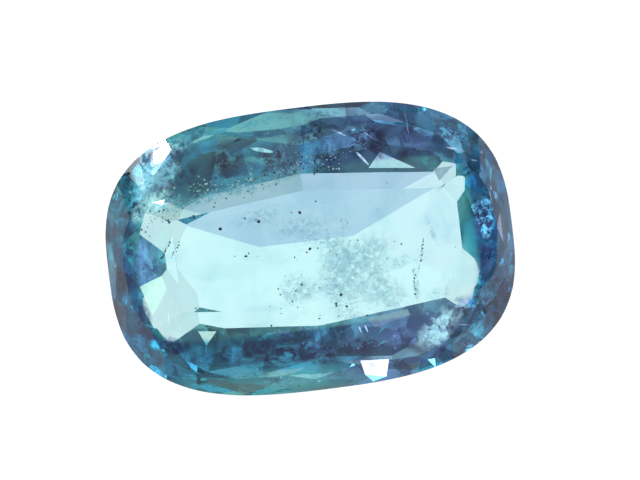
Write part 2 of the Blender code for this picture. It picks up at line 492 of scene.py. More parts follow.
# %% The colour zones
WINDOW_MIDDLE = -0.15
WINDOW_HALF_LENGTH = 5.4
WINDOW_HALF_WIDTH = 2.55
WINDOW_SQUARENESS = 6
ZONE_START = -1.6
ZONE_END = 2.2
ZONE_WANDER = 2.4
CLOUD_SHARE = 0.75
CELL_SHARE = 0.25

# Each of these says where a smooth step starts and where it ends: the first three in
# millimetres, the ring's in the window's own size, and the last two in values of the noise.
FRONT_TO_BACK = (-2.5, 3.0)
OUTER_RIM = (3.7, 4.2)
STONE_END = (5.1, 5.6)
RING_EDGE = (0.95, 1.35)
PATCH_EDGE = (0.44, 0.62)
MILK_EDGE = (0.46, 0.66)

CLEAR = (1.0, 1.0, 1.0, 1)
MILKY = (0.80, 0.88, 0.92, 1)
PALE_TEAL = (0.50, 0.80, 1.0, 1)
DEEP_TEAL = (0.10, 0.50, 1.0, 1)
SLATE_BLUE = (0.64, 0.54, 1.0, 1)
# The plum patches make the ring darker: partly the stone's colour and partly painted shade.
DEEP_PLUM_SHADE = (0.20, 0.16, 0.24, 1)
# A lighter teal on the left's outer rim is painted light.
LIT_RIM_TEAL = (0.72, 1.0, 1.0, 1)
RIM_SHARE = 0.85
# Both ends are multiplied darker, each with a hue of its own: painted shade.
LEFT_END_SHADE = (0.12, 0.50, 0.55, 1)
RIGHT_END_SHADE = (0.50, 0.32, 0.44, 1)


def make_zone_group():
    """Puts out the tint of the stone at a place, with painted shade and painted light in it."""
    group = new_group(
        "beryl_zones",
        [("Place", "NodeSocketVector", None),
         ("Window", "NodeSocketColor", CLEAR),
         ("Window clouds", "NodeSocketColor", MILKY),
         ("Left back", "NodeSocketColor", PALE_TEAL),
         ("Left front", "NodeSocketColor", DEEP_TEAL),
         ("Right", "NodeSocketColor", SLATE_BLUE),
         ("Patch", "NodeSocketColor", DEEP_PLUM_SHADE),
         ("Rim", "NodeSocketColor", LIT_RIM_TEAL),
         ("Left end shade", "NodeSocketColor", LEFT_END_SHADE),
         ("Right end shade", "NodeSocketColor", RIGHT_END_SHADE)],
        [("Tint", "NodeSocketColor")])
    inside = group.nodes.new("NodeGroupInput")
    out = group.nodes.new("NodeGroupOutput")
    place = inside.outputs["Place"]
    split = group.nodes.new("ShaderNodeSeparateXYZ")
    group.links.new(place, split.inputs[0])
    along, across = split.outputs["X"], split.outputs["Y"]
    wander = math_node(group, "MULTIPLY", noise(group, place, scale=0.6), ZONE_WANDER)
    shifted = math_node(group, "ADD", along, wander)
    half_wander = ZONE_WANDER / 2
    to_right = ramp_between(group, shifted, ZONE_START + half_wander, ZONE_END + half_wander)
    to_back = ramp_between(group, across, *FRONT_TO_BACK)
    left = mix_colour(group, to_back, inside.outputs["Left front"], inside.outputs["Left back"])
    zone = mix_colour(group, to_right, left, inside.outputs["Right"])
    cloud = noise(group, place, scale=0.9, detail=3, distortion=0.4)
    clouds = math_node(group, "MULTIPLY", cloud, CLOUD_SHARE)
    blocks = math_node(group, "MULTIPLY", cells(group, place, scale=1.1), CELL_SHARE)
    patches = ramp_between(group, math_node(group, "ADD", clouds, blocks), *PATCH_EDGE)
    # Darker plum patches: partly colour and partly painted shade.
    patched = mix_colour(group, patches, zone, inside.outputs["Patch"], "MULTIPLY")
    outermost = ramp_between(group, math_node(group, "ABSOLUTE", across), *OUTER_RIM)
    on_left = math_node(group, "SUBTRACT", 1.0, to_right)
    rim = math_node(group, "MULTIPLY", math_node(group, "MULTIPLY", outermost, on_left), RIM_SHARE)
    # The left's outer rim is made a lighter teal: painted light.
    rimmed = mix_colour(group, rim, patched, inside.outputs["Rim"])
    end = ramp_between(group, math_node(group, "ABSOLUTE", along), *STONE_END)
    # The ends are made darker: painted shade.
    end_shade = mix_colour(
        group, to_right, inside.outputs["Left end shade"], inside.outputs["Right end shade"])
    ringed = mix_colour(group, end, rimmed, end_shade, "MULTIPLY")
    from_middle = math_node(group, "SUBTRACT", along, WINDOW_MIDDLE)
    length = math_node(
        group, "ABSOLUTE", math_node(group, "DIVIDE", from_middle, WINDOW_HALF_LENGTH))
    width = math_node(group, "ABSOLUTE", math_node(group, "DIVIDE", across, WINDOW_HALF_WIDTH))
    length_power = math_node(group, "POWER", length, WINDOW_SQUARENESS)
    width_power = math_node(group, "POWER", width, WINDOW_SQUARENESS)
    distance = math_node(group, "ADD", length_power, width_power)
    ring = ramp_between(group, distance, *RING_EDGE)
    haze = noise(group, place, scale=0.8, detail=4, distortion=0.5)
    milk = ramp_between(group, haze, *MILK_EDGE)
    window = mix_colour(
        group, milk, inside.outputs["Window"], inside.outputs["Window clouds"])
    # Outside the window the ring takes the zones' darker tint, which is partly painted shade.
    tint = mix_colour(group, ring, window, ringed)
    group.links.new(tint, out.inputs["Tint"])
    return group


# %% The polish
POLISH = 0.012
DULL_ENDS = 0.05
GIRDLE_ROUGHNESS = 0.30
GIRDLE_HALF_HEIGHT = 0.15
GIRDLE_FADE = 0.03
SMEAR_STRENGTH = 2

# The ends are duller underneath: where that starts and is full, from the middle and below the
# girdle, in millimetres.
DULL_OUTWARDS = (3.8, 5.2)
DULL_DOWNWARDS = (-0.15, -0.5)


def make_polish_group():
    """Puts out the roughness, with a ground band at the girdle, and the facets' faint waves."""
    group = new_group(
        "gem_polish",
        [("Place", "NodeSocketVector", None),
         ("Facets", "NodeSocketFloat", POLISH),
         ("Ends", "NodeSocketFloat", DULL_ENDS),
         ("Girdle", "NodeSocketFloat", GIRDLE_ROUGHNESS)],
        [("Roughness", "NodeSocketFloat"), ("Waves", "NodeSocketFloat")])
    inside = group.nodes.new("NodeGroupInput")
    out = group.nodes.new("NodeGroupOutput")
    split = group.nodes.new("ShaderNodeSeparateXYZ")
    group.links.new(inside.outputs["Place"], split.inputs[0])
    height = math_node(group, "ABSOLUTE", split.outputs["Z"])
    facets = ramp_between(
        group, height, GIRDLE_HALF_HEIGHT - GIRDLE_FADE, GIRDLE_HALF_HEIGHT + GIRDLE_FADE)
    smears = noise(group, inside.outputs["Place"], scale=1.8, detail=3)
    smear = math_node(group, "MULTIPLY", smears, SMEAR_STRENGTH)
    clean = math_node(group, "MULTIPLY", inside.outputs["Facets"], smear)
    from_middle = math_node(group, "ABSOLUTE", split.outputs["X"])
    outwards = ramp_between(group, from_middle, *DULL_OUTWARDS)
    downwards = ramp_between(group, split.outputs["Z"], *DULL_DOWNWARDS)
    dull = math_node(group, "MULTIPLY", outwards, downwards)
    dullness = math_node(group, "MULTIPLY", dull, inside.outputs["Ends"])
    polish = math_node(group, "ADD", clean, dullness)
    mix = group.nodes.new("ShaderNodeMix")
    group.links.new(facets, mix.inputs[0])
    group.links.new(inside.outputs["Girdle"], mix.inputs[2])
    group.links.new(polish, mix.inputs[3])
    group.links.new(mix.outputs[0], out.inputs["Roughness"])
    waves = noise(group, inside.outputs["Place"], scale=1.1, detail=2)
    group.links.new(waves, out.inputs["Waves"])
    return group


# %% The beryl itself
BERYL_IOR = 1.577
BODY_COLOUR = (0.0, 0.93, 0.96, 1)
BODY_DENSITY = 100
WAVE_DEPTH = 0.005 * MM


def beryl_material():
    """Clear beryl: plain glass with absorption inside, tinted in zones."""
    material = bpy.data.materials.new("emerald_beryl")
    material.use_nodes = True
    tree = material.node_tree
    shader = tree.nodes["Principled BSDF"]
    shader.inputs["IOR"].default_value = BERYL_IOR
    shader.inputs["Transmission Weight"].default_value = 1.0
    place = place_on_stone(tree)
    zones = tree.nodes.new("ShaderNodeGroup")
    zones.node_tree = make_zone_group()
    tree.links.new(place, zones.inputs["Place"])
    facet = tree.nodes.new("ShaderNodeAttribute")
    facet.attribute_name = TONE_AND_SHADE_NAME
    # The facets' tones, with their painted shade, multiply the zones' tint.
    tint = mix_colour(tree, 1.0, zones.outputs["Tint"], facet.outputs["Color"], "MULTIPLY")
    tree.links.new(tint, shader.inputs["Base Color"])
    polish = tree.nodes.new("ShaderNodeGroup")
    polish.node_tree = make_polish_group()
    tree.links.new(place, polish.inputs["Place"])
    tree.links.new(polish.outputs["Roughness"], shader.inputs["Roughness"])
    bump = tree.nodes.new("ShaderNodeBump")
    bump.inputs["Strength"].default_value = 1.0
    bump.inputs["Distance"].default_value = WAVE_DEPTH
    tree.links.new(polish.outputs["Waves"], bump.inputs["Height"])
    tree.links.new(bump.outputs["Normal"], shader.inputs["Normal"])
    absorption = tree.nodes.new("ShaderNodeVolumeAbsorption")
    absorption.inputs["Color"].default_value = BODY_COLOUR
    absorption.inputs["Density"].default_value = BODY_DENSITY
    tree.links.new(absorption.outputs[0], tree.nodes["Material Output"].inputs["Volume"])
    return material


stone.data.materials.clear()
stone.data.materials.append(beryl_material())

# %% [markdown]
# ## The garden inside
# An emerald is told from glass by what was shut in as it grew, which cutters call its garden:
# dark grains, bright needles, healed cracks like feathers, smoky veils and flat cleavage
# flakes. Each is a small closed mesh inside the clear stone. It is placed by the pixel where it
# shows in the photograph, and by a depth below the crown, which is a guess. How the crown bends
# the light isn't counted, so a flaw below a sloping facet shows a little to one side. Most of the
# meshes glow, which is painted light, and some stand for light and shade and not for flaws: dark
# sheets in the ring are painted shade, and bright flakes and cyan sheets are painted glints and
# glow.

# %% Find places inside the stone
HIGH_ABOVE = 10

stone_tree = BVHTree.FromPolygons(
    [vertex.co for vertex in stone.data.vertices],
    [tuple(polygon.vertices) for polygon in stone.data.polygons])

stone_up = lean_matrix.to_3x3() @ Vector((0, 0, 1))


def crown_below(x, y):
    """The crown's place and direction below a pixel of the photograph."""
    start = stone_point(*photo_spot(x, y), HIGH_ABOVE)
    place, direction = stone_tree.ray_cast(start, -stone_up)[:2]
    return place, direction


def inside_stone(x, y, depth):
    """The point straight below a pixel of the photograph, at a depth below the crown in mm."""
    return crown_below(x, y)[0] - stone_up * depth * MM


SMALLEST_FACET = 0.02 * MM * MM

facets = [polygon for polygon in stone.data.polygons if polygon.area > SMALLEST_FACET]
facet_normals = np.array([polygon.normal for polygon in facets])
facet_reach = np.array([polygon.normal.dot(polygon.center) for polygon in facets])


def farthest_out(mesh):
    """How far a mesh reaches past the stone's facets, in millimetres; it is below 0 inside."""
    places = np.array([vertex.co for vertex in mesh.vertices])
    return (places @ facet_normals.T - facet_reach).max() / MM


print("Table below the middle of the picture:", crown_below(*GIRDLE_PIXEL)[0] / MM)

# %% [markdown]
# Each kind of flaw is modelled once, one millimetre in radius, and copied. A placement is a
# matrix that stretches, turns and moves a copy. Every copy also gets a tone, a colour with its
# density as the fourth value, which its material reads from the mesh.
#
# The facets underneath mirror every flaw. A veil that glows on both sides, with its painted
# light, then shows again as a bright ghost in the dark ring, so its underside is painted darker
# and less dense than its top. From below, the veils are fainter for it than in a real stone.

# %% Copy a modelled flaw
def start_edit(piece):
    """Edit a piece with all of it selected."""
    select_only(piece)
    bpy.ops.object.mode_set(mode="EDIT")
    bpy.ops.mesh.select_all(action="SELECT")


def end_edit():
    """Back to object mode."""
    bpy.ops.object.mode_set(mode="OBJECT")


UNDERSIDE_SHADE = 0.40
UNDERSIDE_SHARE = 0.12


def paint_tone(mesh, tone):
    """Keep a flaw's tone on its corners; the underside is darker and less dense than the top."""
    under_tone = (*[UNDERSIDE_SHADE * value for value in tone[:3]], UNDERSIDE_SHARE * tone[3])
    layer = mesh.color_attributes.new("tone", "FLOAT_COLOR", "CORNER")
    for polygon in mesh.polygons:
        faces_up = polygon.normal.dot(stone_up) > 0
        for corner in polygon.loop_indices:
            layer.data[corner].color = tone if faces_up else under_tone


def join_copies(model, name, placed, material):
    """Copies of a model with their own meshes and tones, joined in one piece of the stone."""
    copies = []
    for number, (placement, tone) in enumerate(placed):
        mesh = model.data.copy()
        mesh.transform(placement)
        if farthest_out(mesh) > 0:
            print("Sticks out of the stone:", name, number, round(farthest_out(mesh), 3))
        paint_tone(mesh, tone)
        copy = bpy.data.objects.new(name, mesh)
        bpy.context.scene.collection.objects.link(copy)
        copies.append(copy)
    bpy.data.objects.remove(model)
    select_only(copies[0])
    for copy in copies:
        copy.select_set(True)
    bpy.ops.object.join()
    piece = bpy.context.object
    piece.name = name
    piece.data.materials.clear()
    piece.data.materials.append(material)
    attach(piece, "root")
    print(name, "holds", len(placed), "flaws and", len(piece.data.polygons), "faces")
    return piece


def under_crown(x, y, depth, half_width, half_height, angle):
    """Lay a model along the crown below a pixel, turned by an angle as seen in the photograph."""
    tilt = stone_up.rotation_difference(crown_below(x, y)[1]).to_matrix().to_4x4()
    turn = tilt @ lean_matrix @ Matrix.Rotation(math.radians(angle) - ROLL, 4, "Z")
    size = Matrix.Diagonal((half_width, half_height, 1, 1))
    return Matrix.Translation(inside_stone(x, y, depth)) @ turn @ size


# %% The minerals' materials
WORN = (0.55, 0.62, 0.66, 1)
SLIGHTLY_WORN = (0.88, 0.92, 0.94, 1)


def mineral_shader(name, roughness, glow, wear=WORN):
    """A material that reads its copy's tone and mottles it; its glow is painted light."""
    material = bpy.data.materials.new(name)
    material.use_nodes = True
    tree = material.node_tree
    shader = tree.nodes["Principled BSDF"]
    place = place_on_stone(tree)
    tone = tree.nodes.new("ShaderNodeAttribute")
    tone.attribute_name = "tone"
    mottle = ramp_between(tree, noise(tree, place, scale=7, detail=3), low=0.35, high=0.65)
    deeper = mix_colour(tree, 1.0, tone.outputs["Color"], wear, "MULTIPLY")
    colour = mix_colour(tree, mottle, deeper, tone.outputs["Color"])
    tree.links.new(colour, shader.inputs["Base Color"])
    tree.links.new(colour, shader.inputs["Emission Color"])
    # The glow is painted light, standing for scattered light: the flaws shine though they are no
    # lamps.
    shader.inputs["Emission Strength"].default_value = glow
    shader.inputs["Roughness"].default_value = roughness
    return material, shader, place, tone


def set_density(tree, shader, tone, place, grain, thin, thick):
    """Link the tone's density to Alpha, broken up by a cloud that runs from thin to thick.

    A face seen from inside its thin sheet is left out, so each sheet counts once.
    """
    cloud = ramp_between(tree, noise(tree, place, grain, detail=4, distortion=0.6), thin, thick)
    side = tree.nodes.new("ShaderNodeNewGeometry")
    outside = math_node(tree, "SUBTRACT", 1.0, side.outputs["Backfacing"])
    shown = math_node(tree, "MULTIPLY", cloud, outside)
    density = math_node(tree, "MULTIPLY", tone.outputs["Alpha"], shown)
    tree.links.new(density, shader.inputs["Alpha"])
    return density


# A disc's own map runs from 0 to 1 across it. The veil is gone at its rim, half the map's width
# from the centre, and whole nearer in.
MAP_CENTRE = (0.5, 0.5, 0)
VEIL_FADE = (0.5, 0.15)


def veil_material():
    """A thin cloudy sheet: its density wanders, and fades to nothing towards its rim."""
    # Every veil glows: painted light.
    material, shader, place, tone = mineral_shader("veil", roughness=0.5, glow=1.0)
    tree = material.node_tree
    density = set_density(tree, shader, tone, place, grain=5.5, thin=0.34, thick=0.62)
    layout = tree.nodes.new("ShaderNodeUVMap")
    from_centre = tree.nodes.new("ShaderNodeVectorMath")
    from_centre.operation = "DISTANCE"
    from_centre.inputs[1].default_value = MAP_CENTRE
    tree.links.new(layout.outputs[0], from_centre.inputs[0])
    fade = ramp_between(tree, from_centre.outputs["Value"], *VEIL_FADE)
    faded = math_node(tree, "MULTIPLY", density, fade)
    tree.links.new(faded, shader.inputs["Alpha"])
    return material


def flake_material(name, glow):
    """A straight-sided flake for cracks and painted light: clear of clouds, but for a little wear.
    """
    material, shader, place, tone = mineral_shader(
        name, roughness=0.3, glow=glow, wear=SLIGHTLY_WORN)
    tree = material.node_tree
    set_density(tree, shader, tone, place, grain=4.0, thin=0.10, thick=0.38)
    return material


# %% [markdown]
# ## Dark grains and growth streaks
# The grains are taken as specks of dark mica, from about 0.01 to 0.2 millimetres wide. A rough
# little ball is enough for each: an icosphere whose corners are pushed about. Where they stand
# in a row, they mark a face that the crystal once had.

# %% Grains
DARK_MICA = (0.02, 0.07, 0.09, 1)
GREY_MICA = (0.12, 0.24, 0.27, 1)
GRAIN_DEPTH = 0.5

# Each speck: its pixel in the photograph, and its width in millimetres.
SPECKS = (
    (260, 222, 0.11), (257, 220, 0.06), (222, 229, 0.09), (246, 219, 0.07), (196, 218, 0.06),
    (216, 209, 0.05), (217, 206, 0.05), (300, 213, 0.08), (292, 213, 0.05), (247, 256, 0.08),
    (250, 253, 0.05), (236, 256, 0.04), (310, 249, 0.08), (318, 248, 0.06), (307, 252, 0.05),
    (198, 307, 0.05), (295, 257, 0.04), (302, 284, 0.07), (296, 290, 0.05), (279, 288, 0.06),
    (281, 294, 0.05), (293, 300, 0.05), (298, 306, 0.05), (272, 322, 0.06), (341, 294, 0.09),
    (336, 303, 0.07), (346, 303, 0.06), (386, 186, 0.04), (316, 202, 0.05), (357, 240, 0.05),
    (400, 244, 0.05), (386, 258, 0.04), (366, 313, 0.05), (338, 313, 0.05), (319, 315, 0.06),
    (149, 232, 0.06), (153, 236, 0.05), (145, 230, 0.05), (151, 227, 0.04), (330, 251, 0.04))

# Each streak: its two ends in pixels, its width in millimetres and its tone.
STREAKS = (
    ((164, 259), (174, 242), 0.06, DARK_MICA), ((175, 257), (182, 242), 0.05, DARK_MICA),
    ((422, 238), (419, 262), 0.05, DARK_MICA), ((417, 264), (418, 272), 0.04, GREY_MICA),
    ((341, 219), (343, 230), 0.03, GREY_MICA), ((346, 219), (348, 229), 0.03, GREY_MICA),
    ((291, 293), (296, 286), 0.04, GREY_MICA), ((412, 268), (414, 293), 0.06, GREY_MICA))
GRAIN_SPACING = 0.05
STREAK_SCATTER = 0.5
STREAK_WIDTHS = (0.6, 1.3)

# The dust lies in a loose cloud: its middle and its spread in pixels.
DUST_MIDDLE = (345, 272)
DUST_SPREAD = (42, 24)
DUST_COUNT = 150
DUST_WIDTHS = (0.015, 0.045)
DUST_DEPTH = 0.9

# The fringe runs along a path of pixels. Most of its grains are near the finest width.
FRINGE_PATH = ((148, 217), (172, 208), (200, 193), (240, 185), (268, 176), (292, 167), (332, 161))
FRINGE_SPREAD = 7
FRINGE_COUNT = 520
FRINGE_FINEST = 0.015
FRINGE_RANGE = 0.075
FRINGE_DEPTH = 0.25

# A grain's width and its depth are each multiplied by a random share between these.
UNEVEN_WIDTH = (0.7, 1.3)
UNEVEN_DEPTH = (0.5, 1.5)

random_grains = random.Random(11)


def model_grain():
    """A rough little ball, one millimetre in radius."""
    bpy.ops.object.select_all(action="DESELECT")
    bpy.ops.mesh.primitive_ico_sphere_add(subdivisions=1, radius=MM)
    grain = bpy.context.object
    start_edit(grain)
    bpy.ops.transform.vertex_random(offset=0.30 * MM, uniform=1.0, seed=4)
    end_edit()
    return grain


def grain_at(x, y, width, depth=GRAIN_DEPTH):
    """A placement for one grain, a little uneven and turned at random."""
    turn = Euler([random_grains.uniform(0, math.tau) for axis in range(3)])
    size = [width / 2 * random_grains.uniform(*UNEVEN_WIDTH) for axis in range(3)]
    point = inside_stone(x, y, depth * random_grains.uniform(*UNEVEN_DEPTH))
    return Matrix.Translation(point) @ turn.to_matrix().to_4x4() @ Matrix.Diagonal((*size, 1))


SPECK_GROWTH = 1.35


def speck_grains():
    """The single dark specks; lit from below, a grain looks smaller than it is."""
    return [(grain_at(x, y, width * SPECK_GROWTH), DARK_MICA) for x, y, width in SPECKS]


def streak_grains():
    """Rows of grains along the streaks."""
    placed = []
    for start, end, width, tone in STREAKS:
        length = math.dist(start, end) / PIXELS_PER_MM
        count = round(length / GRAIN_SPACING)
        for step in range(count):
            share = (step + 0.5) / count
            x = start[0] + (end[0] - start[0]) * share + random_grains.gauss(0, STREAK_SCATTER)
            y = start[1] + (end[1] - start[1]) * share + random_grains.gauss(0, STREAK_SCATTER)
            placed.append((grain_at(x, y, width * random_grains.uniform(*STREAK_WIDTHS)), tone))
    return placed


def dust_grains():
    """Fine dust in the middle of the window."""
    placed = []
    for grain in range(DUST_COUNT):
        x = random_grains.gauss(DUST_MIDDLE[0], DUST_SPREAD[0])
        y = random_grains.gauss(DUST_MIDDLE[1], DUST_SPREAD[1])
        width = random_grains.uniform(*DUST_WIDTHS)
        placed.append((grain_at(x, y, width, DUST_DEPTH), GREY_MICA))
    return placed


def fringe_spot():
    """A random pixel near the path of the grainy fringe."""
    leg = random_grains.randrange(len(FRINGE_PATH) - 1)
    start, end = FRINGE_PATH[leg], FRINGE_PATH[leg + 1]
    share = random_grains.random()
    x = start[0] + (end[0] - start[0]) * share + random_grains.gauss(0, FRINGE_SPREAD)
    y = start[1] + (end[1] - start[1]) * share + random_grains.gauss(0, FRINGE_SPREAD)
    return x, y


def fringe_grains(count, tone):
    """Grains of one tone scattered along the fringe."""
    placed = []
    for grain in range(count):
        x, y = fringe_spot()
        width = FRINGE_FINEST + FRINGE_RANGE * random_grains.random() ** 3
        placed.append((grain_at(x, y, width, FRINGE_DEPTH), tone))
    return placed


dark_shader = mineral_shader("dark_mica", roughness=0.6, glow=0.0)[0]
dark_placed = speck_grains() + streak_grains() + dust_grains()
dark_placed += fringe_grains(FRINGE_COUNT // 2, DARK_MICA)
join_copies(model_grain(), "dark_grains", dark_placed, dark_shader)

# %% [markdown]
# ## Bright grains and needles
# Tiny cracks round the grains throw light back, so the fringe along the window sparkles white
# among the dark. The needles stand for hollow tubes, and are solid bright spindles here. The pale
# grains and the needles glow, which is painted light for their sparkle.

# %% Pale grains
PALE_CRACK = (0.72, 0.95, 1.0, 1)
LILAC_CRACK = (0.62, 0.74, 1.0, 1)
SPARKLE_COUNT = 35
SPARKLE_WIDTHS = (0.02, 0.06)
SPARKLE_DEPTH = 0.3

# Each loose cloud of sparkles in the dark ring: its middle and its spread in pixels.
SPARKLE_CLOUDS = (((335, 150), (32, 12)), ((345, 338), (34, 9)), ((445, 322), (14, 12)))


def sparkle_grains():
    """Small bright grains in the dark ring."""
    placed = []
    for middle, spread in SPARKLE_CLOUDS:
        for grain in range(SPARKLE_COUNT):
            x = random_grains.gauss(middle[0], spread[0])
            y = random_grains.gauss(middle[1], spread[1])
            width = random_grains.uniform(*SPARKLE_WIDTHS)
            placed.append((grain_at(x, y, width, SPARKLE_DEPTH), LILAC_CRACK))
    return placed


# The pale grains glow a little: painted light.
pale_shader = mineral_shader("pale_cracks", roughness=0.4, glow=0.35)[0]
pale_placed = fringe_grains(FRINGE_COUNT, PALE_CRACK) + sparkle_grains()
join_copies(model_grain(), "pale_grains", pale_placed, pale_shader)

# %% Needles
NEEDLE_WHITE = (0.66, 1.0, 0.95, 1)
NEEDLE_DEPTH = 0.25

# Each needle: its two ends in pixels and its width in millimetres.
NEEDLES = (
    ((252, 150), (274, 154), 0.15), ((404, 113), (408, 136), 0.035), ((356, 154), (368, 167), 0.09),
    ((332, 131), (346, 138), 0.07), ((445, 149), (462, 154), 0.06), ((468, 162), (474, 163), 0.05),
    ((478, 154), (480, 154), 0.06), ((364, 134), (373, 141), 0.04), ((456, 322), (468, 323), 0.05),
    ((174, 300), (171, 322), 0.05), ((257, 367), (259, 367), 0.05), ((280, 375), (282, 375), 0.04),
    ((118, 267), (120, 264), 0.05), ((358, 324), (361, 331), 0.05), ((364, 323), (367, 330), 0.06))


def model_needle():
    """A rough ball, one millimetre in radius, which its placement stretches to a spindle."""
    bpy.ops.object.select_all(action="DESELECT")
    bpy.ops.mesh.primitive_uv_sphere_add(segments=6, ring_count=6, radius=MM)
    needle = bpy.context.object
    start_edit(needle)
    bpy.ops.transform.vertex_random(offset=0.12 * MM, uniform=1.0, seed=2)
    end_edit()
    return needle


def lay_between(start, end, depth, width):
    """The placement of a needle from one pixel of the photograph to another."""
    low, high = inside_stone(*start, depth), inside_stone(*end, depth)
    run = high - low
    turn = run.to_track_quat("Z", "Y").to_matrix().to_4x4()
    size = Matrix.Diagonal((width / 2, width / 2, run.length / MM / 2, 1))
    return Matrix.Translation((low + high) / 2) @ turn @ size


# The needles glow: painted light.
needle_shader = mineral_shader("bright_needles", roughness=0.3, glow=0.90)[0]
needle_placed = [
    (lay_between(start, end, NEEDLE_DEPTH, width), NEEDLE_WHITE) for start, end, width in NEEDLES]
join_copies(model_needle(), "bright_needles", needle_placed, needle_shader)

# %% [markdown]
# ## Veils and the feather
# A healed crack is a thin sheet of tiny bubbles. Seen against the light it is smoky, and
# against the dark it is pale. Each one is a thin disc, dented and closed, that is dense where
# its cloud is dense, and fades towards its rim. The feather is the densest of them. Every veil
# glows, which is painted light. The plum and blue smoky ones are dark sheets that deepen the
# dark ring, which is painted shade, and the cyan ones, with some of the pale haze, brighten the
# stone round the rim's glint, which is painted light.

# %% Veils
SHEET_THICKNESS = 0.01 * MM
# The plum and blue smoke are painted shade in the dark ring; the cyan glow is painted light.
PLUM_SMOKE_SHADE = (0.02, 0.025, 0.06, 0.95)
BLUE_SMOKE_SHADE = (0.015, 0.06, 0.16, 0.95)
GREY_CLOUD = (0.20, 0.40, 0.48, 0.46)
PALE_HAZE = (0.14, 0.42, 0.52, 0.75)
SLATE_HAZE = (0.14, 0.28, 0.44, 0.70)
CYAN_PAINTED_GLOW = (0.55, 0.95, 1.0, 1.0)
FEATHER = (0.50, 0.95, 0.78, 1.0)

